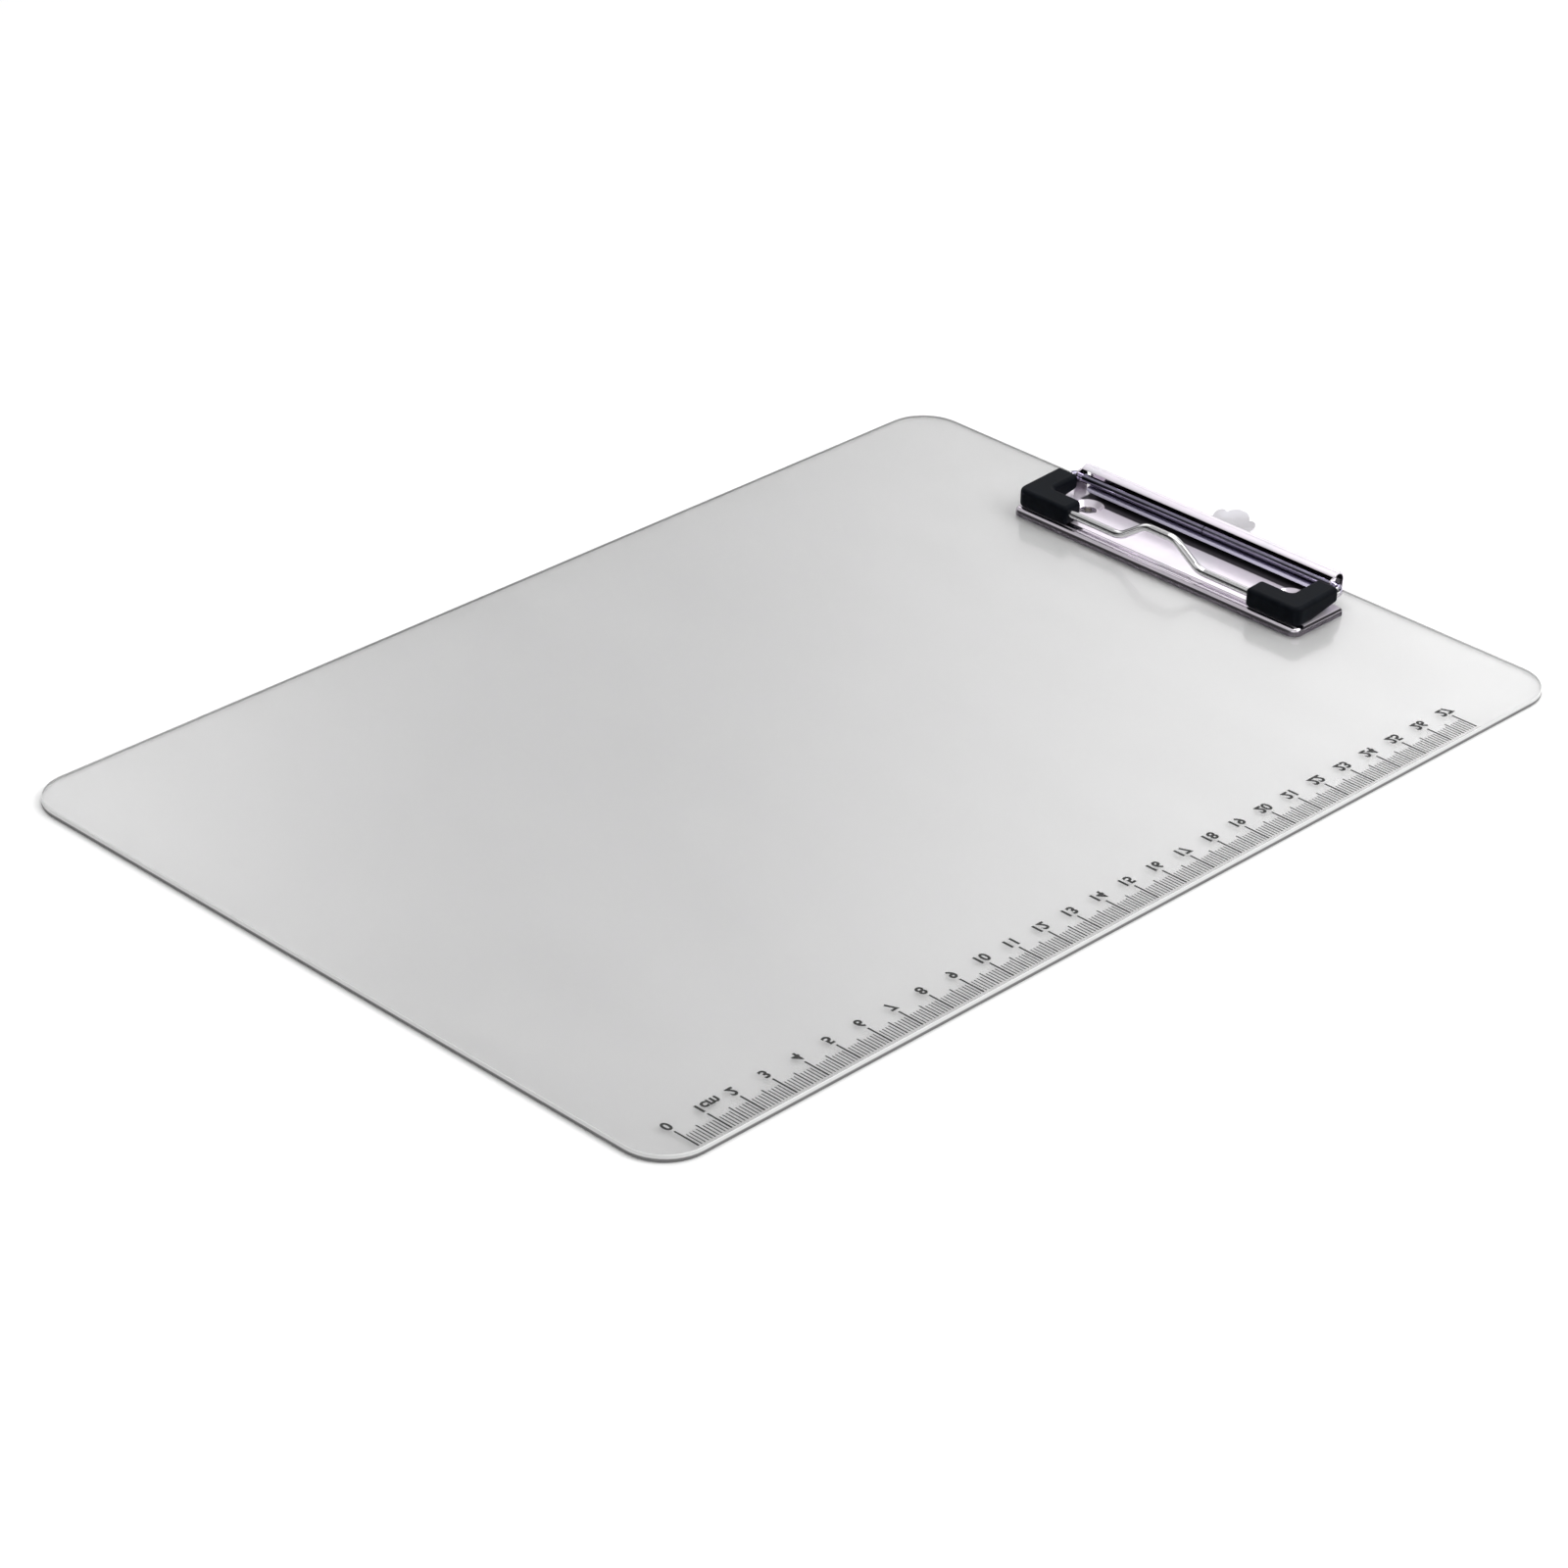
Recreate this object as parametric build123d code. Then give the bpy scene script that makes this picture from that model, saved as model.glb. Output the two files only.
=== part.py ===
from build123d import *
import os

# A4 clipboard with a riveted wire-bail clip and a sliding hanger tab.
# Millimetres. Origin: centre of the board's underside. +X across the board towards the ruler edge,
# +Y along the board towards the clip, +Z up out of the writing face.

# ---------------------------------------------------------------- driving dimensions
# Board
board_width = 220.0
board_length = 315.0
board_thickness = 2.0
board_corner_radius = 12.0
board_edge_round = 0.35

# Clip base: pressed sheet that stands on the board on its front and end lips
sheet = 0.6                                  # steel thickness
plate_width = 97.5
plate_front = 126.5                          # outer face of the front lip
plate_rear = 145.6                           # end of the full-width part
plate_top = 4.1                              # upper face of the flat plate
plate_corner_radius = 2.5
end_bend_radius = 1.2                        # from the flat plate down into the end lips
lip_clearance = 0.05                         # lips end just above the board
lip_overrun = 0.1                            # outline made too long in front, for the footprint to trim
shoulder_drop = 1.5                          # from the flat plate down to where the lip starts to round over
bead_place = 1.6                             # bead's crest, behind the lip's outer face
bead_rise = 0.1                              # bead's crest above the flat plate
groove_place = 3.2                           # crease behind the bead
groove_depth = 0.45
flat_place = 4.4                             # where the flat plate starts
shoulder_bulge = Vector(-0.3, 0.3)           # how far each arc of the bead stands off its chord, in (y, z)
bead_bulge = Vector(0.16, 0.16)
groove_bulge = Vector(-0.06, 0.08)
footprint_length = 40.0                      # longer than the plate, whose outline ends it

# Channel: rear wall that curls up and forward over the bail's pivot runs
channel_width = 86.8
curl_radius = 2.2                            # to the middle of the sheet
curl_centre_y = 149.9
curl_centre_z = 8.5
curl_past_top = 50.0                         # degrees that the curl runs past its highest point
rear_bend_radius = 1.0

# Bearing ears, folded up at the channel's ends, which hold the pivot runs
ear_rim = 1.05                               # metal round the bearing hole
bearing_clearance = 0.08

# Eyelet rivets, washers and their seats
rivet_spacing = 70.0
rivet_y = 141.5
rivet_barrel_radius = 1.7
rivet_bore_radius = 1.05
rivet_flange_radius = 2.5
rivet_flange = 0.5
flange_round = 0.35
seat_top_radius = 4.1
seat_floor_radius = 2.9
seat_overlap = 0.3                           # of the dish into the plate round it
washer_radius = 3.6
washer_thickness = 0.4
clench_radius = 2.6
clench_thickness = 0.4
counterbore_radius = 4.0
counterbore_depth = 0.9

# Bail wire
wire_radius = 1.15
pivot_y = 148.0
pivot_z = 7.8
bail_half_width = 45.9                       # to the arm's axis
front_bar_y = 129.8
front_bar_z = 7.3
wave_rise = 5.8                              # finger wave above the front bar
wave_foot = 13.5                             # half-width at its feet
wave_crown = 5.0                             # half-width of its flat top
wave_bend_radius = 6.5
front_bend_radius = 3.0
pivot_bend_radius = 1.9
butt_gap = 0.3                               # between the wire's two ends

# Corner covers on the bail
cover_outer = 48.2                           # outer side face
cover_arm_width = 7.0
cover_bar_length = 17.3                      # along the front bar
cover_bar_depth = 6.6
cover_front = 127.4
cover_rear = 144.4
cover_foot_gap = 0.2                         # cover's foot above the plate
cover_front_top = 9.7
cover_rear_top = 10.5
cover_rear_bottom = 6.25
cover_corner_round = 2.6
cover_inner_round = 1.4
cover_edge_round = 1.2

# Leaf spring in the channel
spring_thickness = 0.4
spring_half_width = 40.0
spring_front_y = 145.9
spring_front_z = 5.45
spring_crown_y = 147.9
spring_crown_z = 6.2
spring_rear_y = 151.2
spring_seat_gap = 0.06                       # between the rear edge and the channel's floor
spring_corner_radius = 1.2

# Hang tab, which slides along Y between the board and the plate
tab_thickness = 0.7
tab_z = 2.7                                  # middle of the flat part
tab_width = 13.0
tab_inner_end = 131.0
tab_head_length = 4.0
tab_head_width = 19.0
tab_head_round = 1.0
tab_bend_y = 152.0
tab_bend_radius = 8.0
tab_tip_y = 163.8
tab_tip_z = 7.7
tab_hole_radius = 3.0
tab_hole_y = 147.2
tab_travel = 14.0
big_lobe_radius = 4.6
small_lobe_radius = 1.8
small_lobe_x = 4.9
small_lobe_y = 160.1

# Guide lugs under the plate, which keep the tab straight and stop its head
lug_inner_x = 7.0
lug_width = 2.0
lug_length = 1.7
lug_gap = 0.3                                # between the tab's head at full travel and the lug

# ---------------------------------------------------------------- derived places
plate_under = plate_top - sheet
plate_middle = plate_top - sheet / 2
lip_bottom = board_thickness + lip_clearance
seat_top = board_thickness + sheet           # upper face of the dished seat's floor
rivet_points = [(side * rivet_spacing / 2, rivet_y) for side in (-1, 1)]


# ---------------------------------------------------------------- helpers
def slab(x0, x1, y0, y1, z0, z1):
    """A box given by its two corners."""
    return Pos((x0 + x1) / 2, (y0 + y1) / 2, (z0 + z1) / 2) * Box(x1 - x0, y1 - y0, z1 - z0)


def along_x(profile_edges, half_width):
    """A closed (y, z) outline carried from -half_width to +half_width along X."""
    face = make_face([Plane.YZ * edge for edge in profile_edges])
    return extrude(face, amount=half_width, both=True)


def strip_along_x(path_edges, thickness, half_width):
    """A bent strip: a (y, z) centre line given a thickness and carried along X."""
    section = trace(Curve() + path_edges, line_width=thickness)
    return extrude(Plane.YZ * section, amount=half_width, both=True)


def tube(outer, inner, z0, z1):
    """A vertical tube from z0 to z1 on the Z axis."""
    height = z1 - z0
    return Pos(0, 0, z0) * (extrude(Circle(outer) - Circle(inner), amount=height))


# ---------------------------------------------------------------- board
def make_board():
    outline = RectangleRounded(board_width, board_length, board_corner_radius)
    board = extrude(outline, amount=board_thickness)
    rims = board.edges().filter_by(Plane.XY)
    board = fillet(rims, board_edge_round)
    for x, y in rivet_points:
        barrel_hole = Cylinder(rivet_barrel_radius, 4 * board_thickness)
        counterbore = Cylinder(counterbore_radius, 2 * counterbore_depth)
        board -= Pos(x, y, 0) * (barrel_hole + counterbore)
    return board


# ---------------------------------------------------------------- clip base
def plate_outline(lip, inset, rear, bottom):
    """The (y, z) outline from the lip to the rear: lip, bead, groove and flat, lowered by inset."""
    bead_top = Vector(plate_front + bead_place, plate_top + bead_rise - inset)
    groove = Vector(plate_front + groove_place, plate_top - groove_depth - inset)
    flat = Vector(plate_front + flat_place, plate_top - inset)
    shoulder = Vector(lip, plate_top - shoulder_drop)
    return [
        Line((lip, bottom), shoulder),
        ThreePointArc(shoulder, (shoulder + bead_top) / 2 + shoulder_bulge, bead_top),
        ThreePointArc(bead_top, (bead_top + groove) / 2 + bead_bulge, groove),
        ThreePointArc(groove, (groove + flat) / 2 + groove_bulge, flat),
        Line(flat, (rear, flat.Y)),
        Line((rear, flat.Y), (rear, bottom)),
        Line((rear, bottom), (lip, bottom)),
    ]


def make_plate():
    """The full-width tray: beaded front lip, end lips, open underneath and at the rear."""
    skin = plate_outline(plate_front - lip_overrun, 0, plate_rear, lip_bottom)
    outline = RectangleRounded(plate_width, footprint_length, plate_corner_radius)
    footprint = Pos(0, plate_front + footprint_length / 2) * outline
    block = extrude(footprint, amount=plate_top + bead_rise + 0.05)
    top_ends = block.edges().group_by(Axis.Z)[-1].filter_by(Axis.Y)
    block = fillet(top_ends, end_bend_radius)
    solid = block & along_x(skin, plate_width / 2 + 1)
    inside = plate_outline(plate_front + sheet, sheet, plate_rear + 10, lip_bottom - 1)
    return solid - along_x(inside, plate_width / 2 - sheet)


def make_channel():
    """The narrower rear part: flat tongue, upright wall, and the curl over the pivot runs."""
    wall_y = curl_centre_y + curl_radius
    turn = rear_bend_radius
    end_angle = 90 + curl_past_top
    curl_centre = (curl_centre_y, curl_centre_z)
    path = [
        Line((plate_rear - 1, plate_middle), (wall_y - turn, plate_middle)),
        CenterArc((wall_y - turn, plate_middle + turn), turn, -90, 90),
        Line((wall_y, plate_middle + turn), (wall_y, curl_centre_z)),
        CenterArc(curl_centre, curl_radius, 0, end_angle),
    ]
    return strip_along_x(path, sheet, channel_width / 2)


def rivet_seat():
    """A dish pressed down to the board round a rivet, about the Z axis."""
    outline = Polyline(
        (rivet_barrel_radius, board_thickness),
        (seat_floor_radius, board_thickness),
        (seat_top_radius, plate_under),
        (seat_top_radius + seat_overlap, plate_under),
        (seat_top_radius + seat_overlap, plate_top),
        (seat_top_radius, plate_top),
        (seat_floor_radius, seat_top),
        (rivet_barrel_radius, seat_top),
        close=True,
    )
    return revolve(Plane.XZ * make_face(outline), Axis.Z)


def make_ear():
    """Upright ear at the channel's right end, with the bearing hole for the bail's pivot run."""
    hole_radius = wire_radius + bearing_clearance
    rim_radius = hole_radius + ear_rim
    rim = Circle(rim_radius)
    post = Pos(0, (plate_middle - pivot_z) / 2) * Rectangle(2 * rim_radius, pivot_z - plate_middle)
    face = Plane.YZ * (Pos(pivot_y, pivot_z) * (rim + post - Circle(hole_radius)))
    return Pos(channel_width / 2 - sheet / 3, 0, 0) * extrude(face, amount=sheet)


def make_clip_base():
    ear = make_ear()
    base = make_plate() + make_channel() + ear + mirror(ear, Plane.YZ)
    for x, y in rivet_points:
        opening = Pos(x, y, plate_middle) * Cylinder(seat_top_radius + 0.1, 2 * sheet)
        base = base - opening + Pos(x, y, 0) * rivet_seat()
    lug_front = tab_inner_end + tab_head_length + tab_travel + lug_gap
    for side in (-1, 1):
        inner, outer = side * lug_inner_x, side * (lug_inner_x + lug_width)
        base += slab(
            min(inner, outer), max(inner, outer), lug_front, lug_front + lug_length,
            lip_bottom, plate_middle,
        )
    return base


# ---------------------------------------------------------------- rivets and washers
def make_rivet():
    """Tubular rivet about the Z axis: domed flange on the seat, clenched ring below."""
    clench_z = counterbore_depth - washer_thickness - clench_thickness
    rivet = tube(rivet_barrel_radius, rivet_bore_radius, clench_z, seat_top + rivet_flange)
    flange = tube(rivet_flange_radius, rivet_bore_radius, seat_top, seat_top + rivet_flange)
    top_rim = flange.edges().group_by(Axis.Z)[-1].sort_by(SortBy.RADIUS)[-1]
    flange = fillet(top_rim, flange_round)
    clench = tube(clench_radius, rivet_bore_radius, clench_z, clench_z + clench_thickness)
    return rivet + flange + clench


def make_washer():
    top = counterbore_depth
    return tube(washer_radius, rivet_barrel_radius, top - washer_thickness, top)


# ---------------------------------------------------------------- bail
def make_wire():
    half = bail_half_width
    crown_z = front_bar_z + wave_rise
    right_half = [
        (butt_gap / 2, pivot_y, pivot_z),
        (half, pivot_y, pivot_z),
        (half, front_bar_y, front_bar_z),
        (wave_foot, front_bar_y, front_bar_z),
        (wave_crown, front_bar_y, crown_z),
    ]
    left_half = [(-x, y, z) for x, y, z in reversed(right_half)]
    one_side = [pivot_bend_radius, front_bend_radius, wave_bend_radius, wave_bend_radius]
    route = FilletPolyline(*right_half, *left_half, radius=one_side + one_side[::-1])
    section = Plane(origin=route @ 0, z_dir=route % 0) * Circle(wire_radius)
    return sweep(section, path=route)


def make_cover(wire):
    """The right-hand cover: a foot along the front bar and a rising sleeve along the arm."""
    foot = plate_top + cover_foot_gap
    bar_rear = cover_front + cover_bar_depth
    arm_inner = cover_outer - cover_arm_width
    slope = (cover_rear_top - cover_front_top) / (cover_rear - cover_front)
    bar_rear_top = cover_front_top + slope * cover_bar_depth
    bar_side = Polyline(
        (cover_front, foot), (bar_rear, foot), (bar_rear, bar_rear_top), (cover_front, cover_front_top),
        close=True,
    )
    arm_side = Polyline(
        (cover_front, foot), (bar_rear, foot), (cover_rear, cover_rear_bottom),
        (cover_rear, cover_rear_top), (cover_front, cover_front_top),
        close=True,
    )
    bar = extrude(Plane.YZ * make_face(bar_side), amount=cover_bar_length)
    arm = extrude(Plane.YZ * make_face(arm_side), amount=cover_arm_width)
    cover = Pos(cover_outer - cover_bar_length, 0, 0) * bar + Pos(arm_inner, 0, 0) * arm
    uprights = cover.edges().filter_by(Axis.Z)
    outer_corner = uprights.sort_by(lambda e: e.center().X - e.center().Y)[-1]
    cover = fillet(outer_corner, cover_corner_round)
    inner_corner = cover.edges().filter_by(Axis.Z).sort_by_distance((arm_inner, bar_rear, foot + 2))[0]
    cover = fillet(inner_corner, cover_inner_round)
    cover = fillet(cover.edges(), cover_edge_round)
    return cover - wire


# ---------------------------------------------------------------- leaf spring
def make_leaf_spring():
    """Bowed strip: raised front edge, crown under the pivot runs, rear edge in the channel's corner."""
    rear_z = plate_top + spring_thickness / 2 + spring_seat_gap
    front = (spring_front_y, spring_front_z)
    crown = (spring_crown_y, spring_crown_z)
    rear = (spring_rear_y, rear_z)
    strip = strip_along_x([ThreePointArc(front, crown, rear)], spring_thickness, spring_half_width)
    corners = strip.edges().filter_by(lambda e: e.length < 1.5 * spring_thickness)
    return fillet(corners.group_by(Axis.Y)[0], spring_corner_radius)


# ---------------------------------------------------------------- hang tab
def make_hang_tab():
    path = FilletPolyline(
        (tab_inner_end, tab_z), (tab_bend_y, tab_z), (tab_tip_y, tab_tip_z), radius=tab_bend_radius,
    )
    strip = strip_along_x(path.edges(), tab_thickness, tab_head_width)
    shank_end = tab_tip_y - big_lobe_radius
    shank = Pos(0, (tab_inner_end + shank_end) / 2) * Rectangle(tab_width, shank_end - tab_inner_end)
    head_y = tab_inner_end + tab_head_length / 2
    head = Pos(0, head_y) * RectangleRounded(tab_head_width, tab_head_length, tab_head_round)
    outline = shank + head + Pos(0, shank_end) * Circle(big_lobe_radius)
    for side in (-1, 1):
        outline += Pos(side * small_lobe_x, small_lobe_y) * Circle(small_lobe_radius)
    outline -= Pos(0, tab_hole_y) * Circle(tab_hole_radius)
    return strip & extrude(outline, amount=20)


# ---------------------------------------------------------------- assembly
def make_parts():
    wire = make_wire()
    cover_right = make_cover(wire)
    rivet = make_rivet()
    washer = make_washer()
    parts = {
        "board": make_board(),
        "clip_base": make_clip_base(),
        "leaf_spring": make_leaf_spring(),
        "wire_bail": wire,
        "corner_cover_right": cover_right,
        "corner_cover_left": mirror(cover_right, Plane.YZ),
        "hang_tab": make_hang_tab(),
    }
    for side, (x, y) in zip(("left", "right"), rivet_points):
        parts["eyelet_rivet_" + side] = Pos(x, y, 0) * rivet
        parts["rivet_washer_" + side] = Pos(x, y, 0) * washer
    return parts


os.makedirs("parts", exist_ok=True)
for node, shape in make_parts().items():
    export_step(shape, f"parts/{node}.step")
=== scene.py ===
import math

import bmesh
import bpy
from mathutils import Matrix, Vector


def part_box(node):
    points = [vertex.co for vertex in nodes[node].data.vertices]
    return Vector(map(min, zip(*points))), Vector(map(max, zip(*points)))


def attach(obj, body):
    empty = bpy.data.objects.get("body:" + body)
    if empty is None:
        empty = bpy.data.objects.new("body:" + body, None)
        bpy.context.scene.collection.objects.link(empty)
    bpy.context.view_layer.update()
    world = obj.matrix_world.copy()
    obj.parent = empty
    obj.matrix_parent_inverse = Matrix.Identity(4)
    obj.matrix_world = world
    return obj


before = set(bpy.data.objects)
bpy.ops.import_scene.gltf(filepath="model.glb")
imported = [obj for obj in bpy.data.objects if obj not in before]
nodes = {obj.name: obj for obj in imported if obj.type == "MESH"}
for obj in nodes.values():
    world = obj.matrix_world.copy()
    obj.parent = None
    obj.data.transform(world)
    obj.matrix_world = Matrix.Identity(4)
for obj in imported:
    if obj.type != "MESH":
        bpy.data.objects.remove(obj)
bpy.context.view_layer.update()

scene = bpy.context.scene
MM = 0.001

board_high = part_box("board")[1]
rivet_names = ("eyelet_rivet_left", "eyelet_rivet_right")
washer_names = ("rivet_washer_left", "rivet_washer_right")
cover_names = ("corner_cover_left", "corner_cover_right")


# ---------------------------------------------------------------- camera
camera_place = Vector((0.73687, -0.77610, 0.59843))
camera_aim = Vector((0.01190, -0.02159, 0.00200))
camera_roll = math.radians(-1.49)
camera_lens = 114.78                       # focal length in mm
camera_sensor = 36.0                       # sensor width in mm


def make_camera():
    data = bpy.data.cameras.new("camera")
    data.sensor_width, data.lens = camera_sensor, camera_lens
    data.clip_start, data.clip_end = 0.05, 50.0
    camera = bpy.data.objects.new("camera", data)
    scene.collection.objects.link(camera)
    camera.location = camera_place
    look = (camera_aim - camera_place).to_track_quat("-Z", "Y").to_matrix()
    camera.rotation_euler = (look @ Matrix.Rotation(-camera_roll, 3, "Z")).to_euler()
    scene.camera = camera


# ---------------------------------------------------------------- node helpers
class Graph:
    """A material's or world's node tree, with short calls to add and join nodes."""

    def __init__(self, tree):
        self.tree = tree

    def add(self, kind, **settings):
        node = self.tree.nodes.new(kind)
        for name, value in settings.items():
            setattr(node, name, value)
        return node

    def put(self, source, socket):
        """Joins an output to an input socket, or sets the socket's own value."""
        if isinstance(source, bpy.types.NodeSocket):
            self.tree.links.new(source, socket)
        else:
            socket.default_value = source

    def math(self, operation, first, second=0.0, clamp=False):
        node = self.add("ShaderNodeMath", operation=operation, use_clamp=clamp)
        self.put(first, node.inputs[0])
        self.put(second, node.inputs[1])
        return node.outputs[0]

    def place(self, scale=(1, 1, 1), offset=(0, 0, 0)):
        """Object coordinates in metres, scaled per axis."""
        coordinates = self.add("ShaderNodeTexCoord").outputs["Object"]
        mapping = self.add("ShaderNodeMapping")
        mapping.inputs["Scale"].default_value = scale
        mapping.inputs["Location"].default_value = offset
        self.put(coordinates, mapping.inputs["Vector"])
        return mapping.outputs["Vector"]

    def axes(self, output="Object"):
        """The object coordinates, or the surface normal, as separate X, Y and Z."""
        split = self.add("ShaderNodeSeparateXYZ")
        self.put(self.add("ShaderNodeTexCoord").outputs[output], split.inputs[0])
        return split.outputs

    def noise(self, where, scale, detail=3.0, rough=0.55):
        node = self.add("ShaderNodeTexNoise")
        self.put(where, node.inputs["Vector"])
        node.inputs["Scale"].default_value = scale
        node.inputs["Detail"].default_value = detail
        node.inputs["Roughness"].default_value = rough
        return node.outputs["Fac"]

    def span(self, value, low, high, to_low, to_high):
        """Carries low..high to to_low..to_high, clamped."""
        node = self.add("ShaderNodeMapRange")
        for socket, number in zip(node.inputs[1:5], (low, high, to_low, to_high)):
            socket.default_value = number
        self.put(value, node.inputs[0])
        return node.outputs[0]

    def fade(self, value, ends):
        """1 up to the first end, fading to 0 at the second; the ends may run either way."""
        start, stop = ends
        return self.span(value, min(ends), max(ends), int(start < stop), int(start > stop))

    def mask(self, *fades):
        """The product of several fades, each given as (value, ends): 1 only where all are 1."""
        product = 1.0
        for value, ends in fades:
            product = self.math("MULTIPLY", product, self.fade(value, ends))
        return product

    def mix(self, factor, first, second):
        node = self.add("ShaderNodeMix", data_type="RGBA")
        self.put(factor, node.inputs[0])
        self.put(first, node.inputs[6])
        self.put(second, node.inputs[7])
        return node.outputs[2]

    def bump(self, height, strength, distance):
        node = self.add("ShaderNodeBump")
        node.inputs["Strength"].default_value = strength
        node.inputs["Distance"].default_value = distance
        self.put(height, node.inputs["Height"])
        return node.outputs["Normal"]

    def length(self, vector):
        node = self.add("ShaderNodeVectorMath", operation="LENGTH")
        self.put(vector, node.inputs[0])
        return node.outputs["Value"]


def new_material(name, **sockets):
    """A material with one Principled shader, whose constant sockets are set by name."""
    material = bpy.data.materials.new(name)
    material.use_nodes = True
    shader = material.node_tree.nodes["Principled BSDF"]
    for socket, value in sockets.items():
        shader.inputs[socket.replace("_", " ")].default_value = value
    return material, Graph(material.node_tree), shader


def grey(value, red=0.0, blue=0.0):
    return (value + red, value, value + blue, 1.0)


def centre_of(node):
    low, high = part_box(node)
    return (Vector(low) + Vector(high)) / 2


def finish_with(names, material):
    for name in names:
        for slot in nodes[name].material_slots:
            slot.material = material


# ---------------------------------------------------------------- studio
# Directions across are degrees from the middle of the back wall; heights are the sine of the angle
# above the floor. A pair of numbers is where something starts to fade and where it has faded.
wall_azimuth = math.radians(46.8)          # middle of the back wall, from +Y towards -X
wall_levels = [                            # its brightness across, with a dark strip in the middle
    (-40, 0.70), (-20, 1.8), (-10, 2.2), (-6, 1.35), (-2, 0.0), (2, 0.0),
    (5, 0.8), (9, 1.4), (12, 2.3), (22, 2.2), (40, 0.70),
]
wall_side, wall_foot, wall_head = (34, 40), (0.38, 0.25), (0.62, 0.80)
room_levels = [                            # the dim room's brightness by height
    (0.0, 0.03), (0.10, 0.08), (0.17, 0.50), (0.30, 0.78), (0.6, 0.70), (0.8, 0.45), (1.0, 0.45),
]
flag_near, flag_far = (70, 58), (112, 124)  # two dark flags stand aside, one on each side
flag_head = (0.58, 0.72)
flag_level = 0.04
floor_half = 6.0                           # half the floor's side
floor_gap = 0.02 * MM                      # from the board's underside down to the floor


def ramp(graph, value, stops):
    """Greys by position, smoothly joined."""
    low, high = stops[0][0], stops[-1][0]
    node = graph.add("ShaderNodeValToRGB")
    graph.put(graph.span(value, low, high, 0, 1), node.inputs["Fac"])
    elements = node.color_ramp.elements
    node.color_ramp.interpolation = "EASE"
    while len(elements) < len(stops):
        elements.new(0.5)
    for element, (place, level) in zip(elements, stops):
        element.position = (place - low) / (high - low)
        element.color = grey(level)
    return node.outputs["Color"]


def make_world():
    """A dim studio with a bright back wall, itself crossed by a dark strip. The camera sees plain white."""
    world = bpy.data.worlds.new("studio")
    scene.world = world
    world.use_nodes = True
    graph = Graph(world.node_tree)
    background = world.node_tree.nodes["Background"]
    turned = graph.add("ShaderNodeVectorRotate", rotation_type="Z_AXIS")
    graph.put(graph.add("ShaderNodeTexCoord").outputs["Generated"], turned.inputs["Vector"])
    turned.inputs["Angle"].default_value = -wall_azimuth
    split = graph.add("ShaderNodeSeparateXYZ")
    graph.put(turned.outputs[0], split.inputs[0])
    across, forward, height = split.outputs
    degrees = graph.math("MULTIPLY", graph.math("ARCTAN2", across, forward), math.degrees(1))
    wall = ramp(graph, degrees, wall_levels)
    room = ramp(graph, height, room_levels)
    turn = graph.math("ABSOLUTE", degrees)
    on_flag = graph.mask((turn, flag_near), (turn, flag_far), (height, flag_head))
    room = graph.mix(on_flag, room, grey(flag_level))
    on_wall = graph.mask((turn, wall_side), (height, wall_foot), (height, wall_head))
    lit = graph.mix(on_wall, room, wall)
    seen = graph.add("ShaderNodeLightPath").outputs["Is Camera Ray"]
    graph.put(graph.mix(seen, lit, grey(1.0)), background.inputs["Color"])


def area_light(name, place, aim, side, power):
    """A square light, with its side in metres and its power in watts."""
    data = bpy.data.lights.new(name, "AREA")
    data.size, data.energy = side, power
    light = bpy.data.objects.new(name, data)
    scene.collection.objects.link(light)
    light.location = place
    light.rotation_euler = (Vector(aim) - Vector(place)).to_track_quat("-Z", "Y").to_euler()


def make_floor():
    """A wide pale floor just under the board, with a faint paper grain."""
    mesh = bpy.data.meshes.new("floor")
    corners = [(x * floor_half, y * floor_half, 0) for x, y in ((-1, -1), (1, -1), (1, 1), (-1, 1))]
    mesh.from_pydata(corners, [], [(0, 1, 2, 3)])
    floor = bpy.data.objects.new("floor", mesh)
    scene.collection.objects.link(floor)
    floor.location.z = -floor_gap
    material, graph, shader = new_material("pale_floor", Roughness=0.9, Specular_IOR_Level=0.1)
    grain = graph.noise(graph.place(), 900, 4)
    graph.put(graph.mix(grain, grey(0.93), grey(0.96)), shader.inputs["Base Color"])
    mesh.materials.append(material)


# ---------------------------------------------------------------- materials
# A pair of numbers is again where a patch starts to fade and where it has faded.
edge_shadow_heights = (0.85 * MM, 1.15 * MM)         # heights, for the painted contact shadow at the foot of the board's sawn edge
curl_outer = 2.5 * MM                      # outer radius of the clip base's curl
curl_shade_radii = (1.9 * MM, 2.1 * MM)         # radii, for the painted shade inside the curl
curl_crown = (0.7 * MM, 1.1 * MM)          # depths below the curl's top, for the satin on it
seat_rim = (4.2 * MM, 4.5 * MM)            # radii, for the dished rivet seats
channel_shade_front = (1.9 * MM, 2.2 * MM)       # distances in front of the spring, for the painted shade on the channel's floor
channel_shade_top = (0.1 * MM, 0.6 * MM)         # heights above the spring's lowest edge, for the same
channel_shade_end = (-0.5 * MM, 0.0)             # distances past the spring's ends, for the same
lip_reflection_heights = (3.2 * MM, 3.5 * MM)            # heights, for the painted dark reflection at the lips' foot
lip_reflection_upright = (0.25, 0.5)                  # the normal's Z, for the same, as the lip turns level
pivot_shade_depth = (2.5 * MM, 3.1 * MM)          # distances from the wire's rear, for the painted shade on its pivot runs
ring_pitch = 0.12 * MM                     # of the turned rings on rivets and washers
satin_extra = 0.17                         # roughness added where a plated sheet is satin


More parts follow.
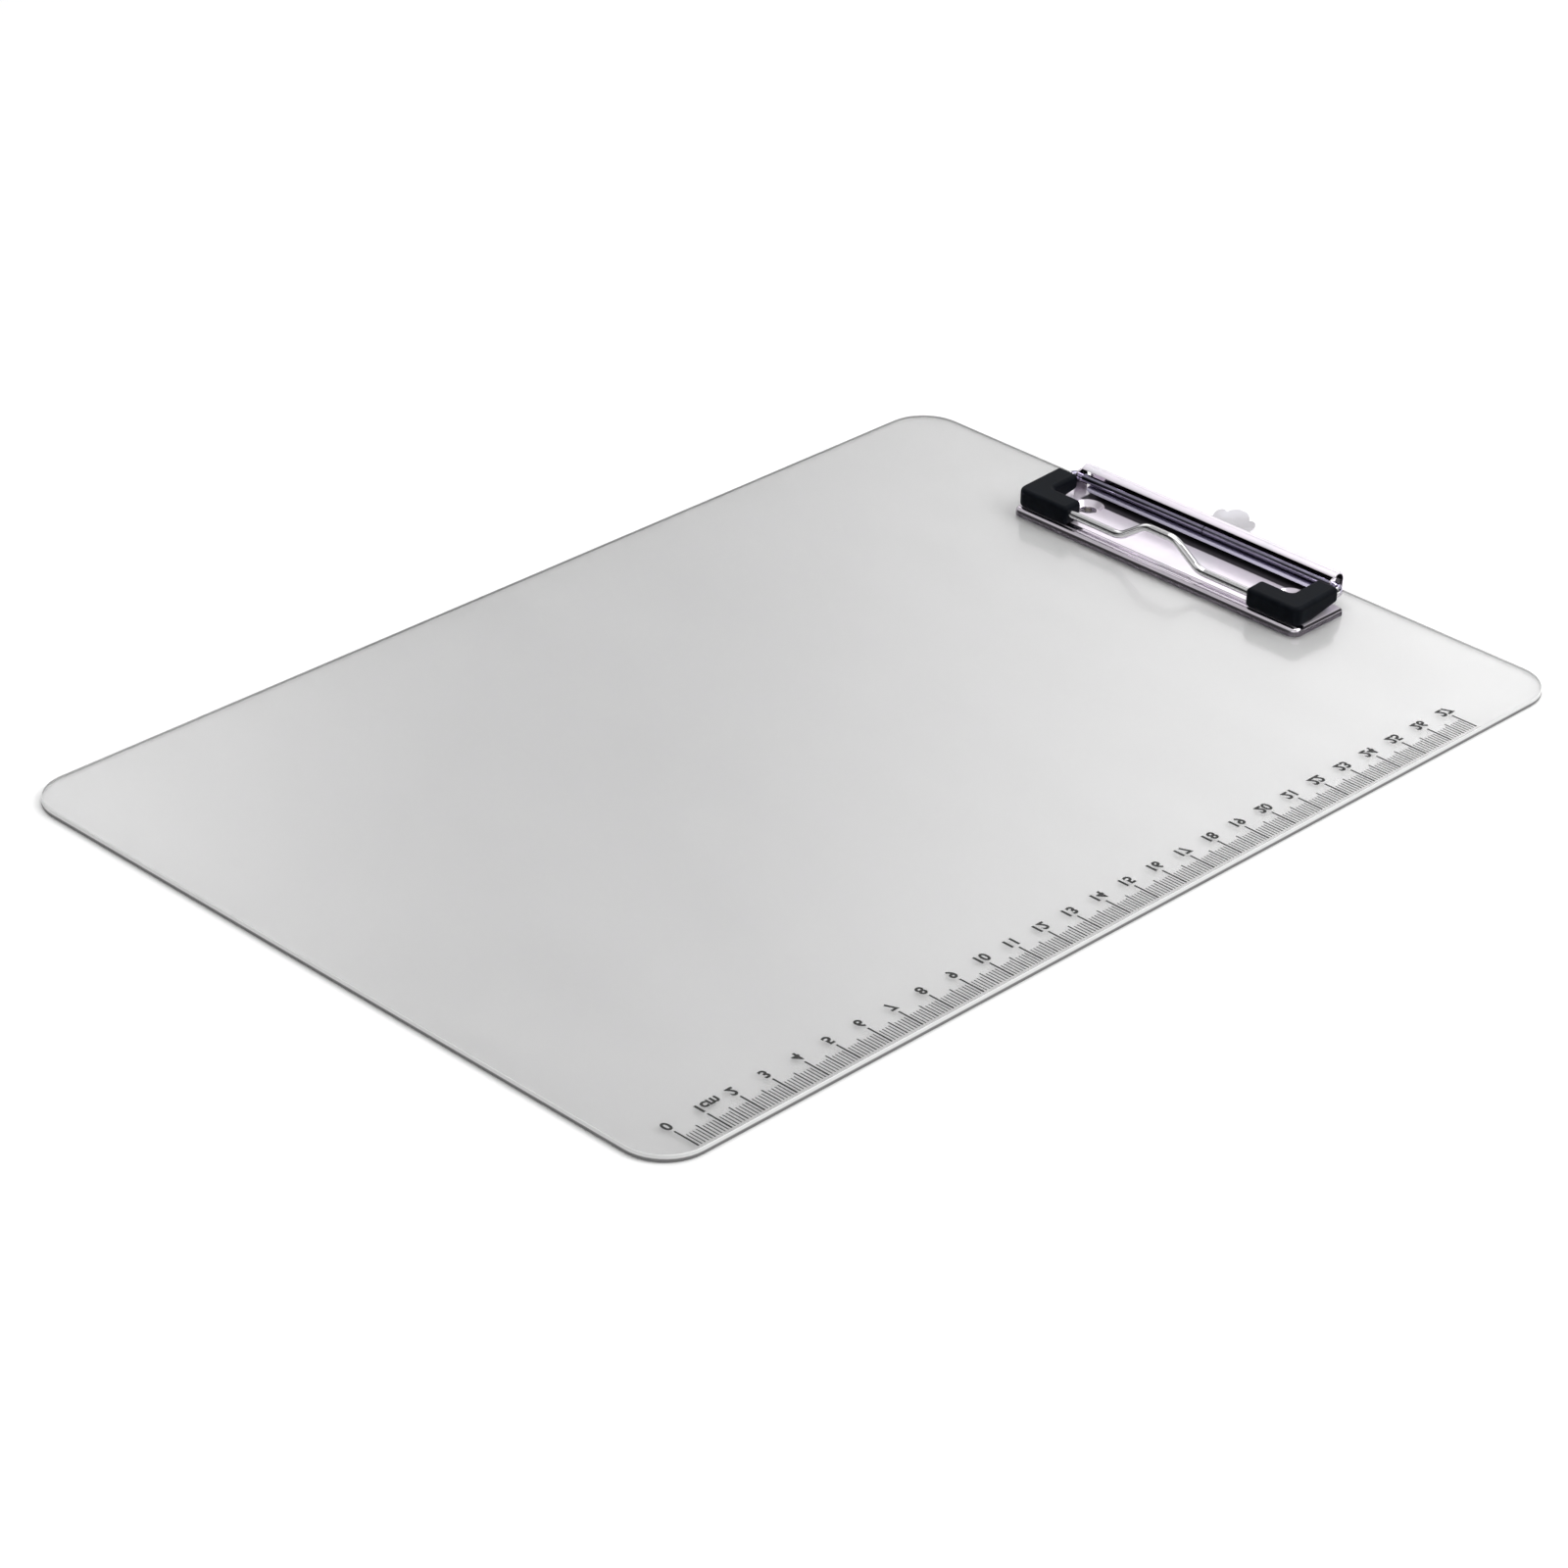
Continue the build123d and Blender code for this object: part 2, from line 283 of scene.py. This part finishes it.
def clear_board():
    """Clear grey-cast plastic with a satin face, faint smears, pale sawn edges, and a painted contact
    shadow along the edges' foot.
    """
    material, graph, shader = new_material("clear_board", IOR=1.57)
    smear = graph.noise(graph.place((1, 3, 1)), 14, 4)
    cloud = graph.noise(graph.place(), 9, 2)
    edge = graph.fade(graph.math("ABSOLUTE", graph.axes("Normal")["Z"]), (0.90, 0.98))
    face_colour = graph.mix(cloud, grey(0.985, 0.001, 0.002), grey(0.995, 0.001, 0.002))
    # the foot of each edge is painted dark: a painted contact shadow, not the plastic's own colour
    edge_colour_and_shadow = graph.mix(graph.fade(graph.axes()["Z"], edge_shadow_heights), grey(0.74), grey(0.15))
    graph.put(graph.mix(edge, face_colour, edge_colour_and_shadow), shader.inputs["Base Color"])
    face_rough = graph.span(smear, 0.35, 0.75, 0.14, 0.20)
    edge_rough = graph.math("MULTIPLY", edge, 0.45)
    graph.put(graph.math("MAXIMUM", face_rough, edge_rough), shader.inputs["Roughness"])
    graph.put(graph.span(edge, 0, 1, 0.84, 0.04), shader.inputs["Transmission Weight"])
    orange_peel = graph.noise(graph.place(), 160, 2)
    graph.put(graph.bump(orange_peel, 0.15, 0.02 * MM), shader.inputs["Normal"])
    return material


def plated_sheet(name, tone, least_rough, most_rough, also_satin=None):
    """Bright plated sheet, satin where flat, polished at the bends, with rolling lines and finger marks.
    Its colour and roughness are returned for the caller to join."""
    material, graph, shader = new_material(name)
    rolled = graph.noise(graph.place((20, 900, 900)), 1.0, 3)
    marks = graph.noise(graph.place(), 120, 4)
    satin = graph.span(graph.axes("Normal")["Z"], 0.990, 0.999, 0, 1)
    if also_satin is not None:
        satin = graph.math("MAXIMUM", satin, also_satin(graph))
    colour = graph.mix(graph.span(marks, 0.45, 0.8, 0, 1), tone, grey(0.76, 0.01, 0.05))
    polish = graph.span(marks, 0.4, 0.75, least_rough, most_rough)
    rough = graph.math("ADD", polish, graph.math("MULTIPLY", satin, satin_extra))
    graph.put(graph.span(satin, 0, 1, 1, 0.5), shader.inputs["Metallic"])
    graph.put(graph.bump(rolled, 0.12, 0.02 * MM), shader.inputs["Normal"])
    return material, graph, shader, colour, rough


def rivet_seats(graph):
    """1 on the two dished rivet seats, 0 elsewhere."""
    seats = [seat_mask(graph, centre_of(name)) for name in rivet_names]
    return graph.math("MAXIMUM", *seats)


def seat_mask(graph, centre):
    return graph.fade(graph.length(graph.place((1, 1, 0), (-centre.x, -centre.y, 0))), seat_rim)


def seats_and_curl(graph):
    """The clip base's other satin places: the rivet seats and the top of the curl."""
    depth = graph.math("SUBTRACT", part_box("clip_base")[1][2], graph.axes()["Z"])
    return graph.math("MAXIMUM", graph.fade(depth, curl_crown), rivet_seats(graph))


def clip_base_finish():
    """Plated sheet with painted shade inside the curl and on the channel's floor, and a painted dark
    reflection low on the lips.
    """
    # dim and dark are painted shade and painted dark reflection, not the plating's own colour
    bright, lip_reflection_colour, dark = (0.92, 0.85, 0.94, 1), (0.20, 0.18, 0.21, 1), (0.05, 0.045, 0.055, 1)
    material, graph, shader, colour, rough = plated_sheet("plated_base", bright, 0.05, 0.11, seats_and_curl)
    position = graph.axes()
    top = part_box("clip_base")[1]
    from_curl = graph.length(graph.place((0, 1, 1), (0, curl_outer - top[1], curl_outer - top[2])))
    # painted shade inside the curl
    curl_shade = graph.fade(from_curl, curl_shade_radii)

    spring_low, spring_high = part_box("leaf_spring")
    ahead = graph.math("SUBTRACT", spring_low[1], position["Y"])
    above = graph.math("SUBTRACT", position["Z"], spring_low[2])
    past_end = graph.math("SUBTRACT", graph.math("ABSOLUTE", position["X"]), spring_high[0])
    # painted shade on the channel's floor, under the spring
    floor = graph.mask((ahead, channel_shade_front), (above, channel_shade_top), (past_end, channel_shade_end))
    floor = graph.math("SUBTRACT", floor, rivet_seats(graph), clamp=True)
    # the painted shade of the curl and of the channel's floor, together
    painted_shade = graph.math("MAXIMUM", curl_shade, floor)

    steepness = graph.math("ABSOLUTE", graph.axes("Normal")["Z"])
    # painted dark reflection low on the upright lips
    lip_reflection = graph.mask((steepness, lip_reflection_upright), (position["Z"], lip_reflection_heights))
    colour = graph.mix(painted_shade, graph.mix(lip_reflection, colour, lip_reflection_colour), dark)
    graph.put(colour, shader.inputs["Base Color"])
    graph.put(graph.math("MAXIMUM", rough, graph.math("MULTIPLY", painted_shade, 0.4)), shader.inputs["Roughness"])
    return material


def hang_tab_finish():
    """The same plated sheet, tumbled to a paler satin."""
    tone = (0.78, 0.76, 0.80, 1)
    material, graph, shader, colour, rough = plated_sheet("plated_tab", tone, 0.16, 0.26)
    graph.put(colour, shader.inputs["Base Color"])
    graph.put(rough, shader.inputs["Roughness"])
    return material


def plated_wire():
    """Bright drawn wire, a little uneven, with painted shade on its runs where it turns in the channel."""
    material, graph, shader = new_material("plated_wire", Metallic=1.0)
    drawn = graph.noise(graph.place((60, 60, 60)), 12, 5)
    bright = graph.mix(drawn, grey(0.84, 0.0, 0.01), grey(0.76, 0.01, 0.02))
    depth = graph.math("SUBTRACT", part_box("wire_bail")[1][1], graph.axes()["Y"])
    # painted shade on the pivot runs, where they lie in the channel under the curl
    pivot_shade = graph.fade(depth, pivot_shade_depth)
    graph.put(graph.mix(pivot_shade, bright, (0.36, 0.34, 0.45, 1)), shader.inputs["Base Color"])
    graph.put(graph.span(drawn, 0.35, 0.7, 0.06, 0.15), shader.inputs["Roughness"])
    graph.put(graph.bump(drawn, 0.08, 0.01 * MM), shader.inputs["Normal"])
    return material


def spring_steel():
    """Grey spring strip with rolling lines along X and a faint heat tint."""
    material, graph, shader = new_material("spring_steel", Metallic=1.0)
    rolled = graph.noise(graph.place((15, 1400, 1400)), 1.0, 4)
    tint = graph.noise(graph.place(), 60, 3)
    dark, pale = (0.40, 0.38, 0.50, 1), (0.50, 0.47, 0.58, 1)
    graph.put(graph.mix(tint, dark, pale), shader.inputs["Base Color"])
    graph.put(graph.span(rolled, 0.3, 0.7, 0.18, 0.30), shader.inputs["Roughness"])
    graph.put(graph.bump(rolled, 0.2, 0.01 * MM), shader.inputs["Normal"])
    return material


def nickel(names):
    """Nickel-plated eyelets and washers, turned rings about each one's own axis."""
    for name in names:
        centre = centre_of(name)
        material, graph, shader = new_material("nickel_" + name, Metallic=1.0)
        radius = graph.length(graph.place((1, 1, 0), (-centre.x, -centre.y, 0)))
        rings = graph.math("SINE", graph.math("MULTIPLY", radius, 2 * math.pi / ring_pitch))
        stain = graph.noise(graph.place(), 500, 4)
        clean, stained = (0.80, 0.78, 0.76, 1), (0.70, 0.67, 0.66, 1)
        graph.put(graph.mix(stain, clean, stained), shader.inputs["Base Color"])
        graph.put(graph.span(stain, 0.35, 0.7, 0.12, 0.28), shader.inputs["Roughness"])
        graph.put(graph.bump(rings, 0.1, 0.01 * MM), shader.inputs["Normal"])
        finish_with([name], material)


def cover_plastic():
    """Blue-black moulded plastic: fine spark texture, satin sheen, paler rubbed patches."""
    material, graph, shader = new_material("cover_plastic", IOR=1.5, Specular_IOR_Level=0.05)
    texture = graph.noise(graph.place(), 2600, 2)
    wear = graph.noise(graph.place(), 350, 5)
    fresh, rubbed = (0.0035, 0.0046, 0.0070, 1), (0.0075, 0.0095, 0.0135, 1)
    graph.put(graph.mix(graph.span(wear, 0.45, 0.8, 0, 1), fresh, rubbed), shader.inputs["Base Color"])
    graph.put(graph.span(wear, 0.3, 0.7, 0.40, 0.55), shader.inputs["Roughness"])
    graph.put(graph.bump(texture, 0.35, 0.03 * MM), shader.inputs["Normal"])
    return material


def print_ink():
    """Screen-printed dark grey ink, a little uneven."""
    material, graph, shader = new_material("print_ink", Specular_IOR_Level=0.2)
    patchy = graph.noise(graph.place(), 1800, 3)
    graph.put(graph.mix(patchy, grey(0.020), grey(0.038)), shader.inputs["Base Color"])
    graph.put(graph.span(patchy, 0.3, 0.7, 0.45, 0.65), shader.inputs["Roughness"])
    return material


# ---------------------------------------------------------------- printed scale
scale_length_cm = 27
scale_start_y = -145.9 * MM
scale_edge = 1.1 * MM                      # from the board's edge to the ticks' outer ends
ink_thickness = 0.03 * MM
ink_bite = 0.4                             # share of the ink's thickness let into the board's upper face
ink_bottom = board_high[2] - ink_bite * ink_thickness
tick_lengths = {"mm": 4.9 * MM, "half": 6.0 * MM, "cm": 7.5 * MM}
tick_widths = {"mm": 0.27 * MM, "half": 0.38 * MM, "cm": 0.52 * MM}
numeral_gap = 8.5 * MM                     # from the ticks' outer ends to the numerals' tops
numeral_height = 2.95 * MM
unit_place = 13.6 * MM                     # middle of the cm, along the scale
font_numeral = 0.69                        # numeral height over the built-in font's size
stroke_gain = 0.052                        # how far the strokes are thickened, over the height
weld_reach = 1e-7                          # glyph corners closer than this, in metres, become one


def add_block(mesh, x0, x1, y0, y1, z0, z1):
    """Adds a closed box to a bmesh."""
    corners = [mesh.verts.new((x, y, z)) for z in (z0, z1) for y in (y0, y1) for x in (x0, x1)]
    for face in ((0, 2, 3, 1), (4, 5, 7, 6), (0, 1, 5, 4), (2, 6, 7, 3), (0, 4, 6, 2), (1, 3, 7, 5)):
        mesh.faces.new([corners[i] for i in face])


def make_ticks(ink):
    """Millimetre, half-centimetre and centimetre lines along the +X edge."""
    mesh = bmesh.new()
    outer = board_high[0] - scale_edge
    ink_top = ink_bottom + ink_thickness
    for step in range(10 * scale_length_cm + 1):
        kind = "cm" if step % 10 == 0 else "half" if step % 5 == 0 else "mm"
        y = scale_start_y + step * MM
        half = tick_widths[kind] / 2
        add_block(mesh, outer - tick_lengths[kind], outer, y - half, y + half, ink_bottom, ink_top)
    data = bpy.data.meshes.new("scale_ticks")
    mesh.to_mesh(data)
    mesh.free()
    place_print("scale_ticks", data, ink)


def glyph_mesh(text):
    """The text as a thin closed mesh, standing on the origin and centred."""
    curve = bpy.data.curves.new("glyphs", "FONT")
    curve.body, curve.align_x = text, "CENTER"
    curve.size = numeral_height / font_numeral
    curve.extrude = ink_thickness / 2
    curve.offset = numeral_height * stroke_gain
    curve.resolution_u = 4
    holder = bpy.data.objects.new("glyphs", curve)
    scene.collection.objects.link(holder)
    bpy.context.view_layer.update()
    evaluated = holder.evaluated_get(bpy.context.evaluated_depsgraph_get())
    mesh = bpy.data.meshes.new_from_object(evaluated)
    bpy.data.objects.remove(holder)
    bpy.data.curves.remove(curve)
    return mesh


def make_numerals(ink):
    """Numerals 0 to 27 and a cm, which read the right way round through the board from below."""
    joined = bmesh.new()
    foot_x = board_high[0] - scale_edge - numeral_gap - numeral_height
    labels = [(str(n), n * 10 * MM) for n in range(scale_length_cm + 1)]
    labels.append(("cm", unit_place))
    for text, along in labels:
        glyphs = glyph_mesh(text)
        # glyph right runs to +Y and glyph up to +X, so the text is mirrored from above
        turn = Matrix(((0, 1, 0, foot_x), (1, 0, 0, scale_start_y + along),
                       (0, 0, 1, ink_bottom + ink_thickness / 2), (0, 0, 0, 1)))
        glyphs.transform(turn)
        glyphs.flip_normals()
        joined.from_mesh(glyphs)
        bpy.data.meshes.remove(glyphs)
    data = bpy.data.meshes.new("scale_numerals")
    bmesh.ops.remove_doubles(joined, verts=joined.verts, dist=weld_reach)
    joined.to_mesh(data)
    joined.free()
    place_print("scale_numerals", data, ink)


def place_print(name, data, ink):
    data.materials.append(ink)
    piece = bpy.data.objects.new(name, data)
    scene.collection.objects.link(piece)
    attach(piece, "root")


# ---------------------------------------------------------------- build
scene.view_settings.view_transform = "Standard"
make_camera()
make_world()
make_floor()
area_light("top", place=(-0.2, 0.1, 1.5), aim=(-0.2, 0.1, 0), side=1.4, power=10.9)
area_light("side", place=(0.75, 0.55, 0.9), aim=(0, 0, 0), side=0.7, power=8)

finish_with(["board"], clear_board())
finish_with(["clip_base"], clip_base_finish())
finish_with(["hang_tab"], hang_tab_finish())
finish_with(["wire_bail"], plated_wire())
finish_with(["leaf_spring"], spring_steel())
finish_with(cover_names, cover_plastic())
nickel(rivet_names + washer_names)

ink = print_ink()
make_ticks(ink)
make_numerals(ink)
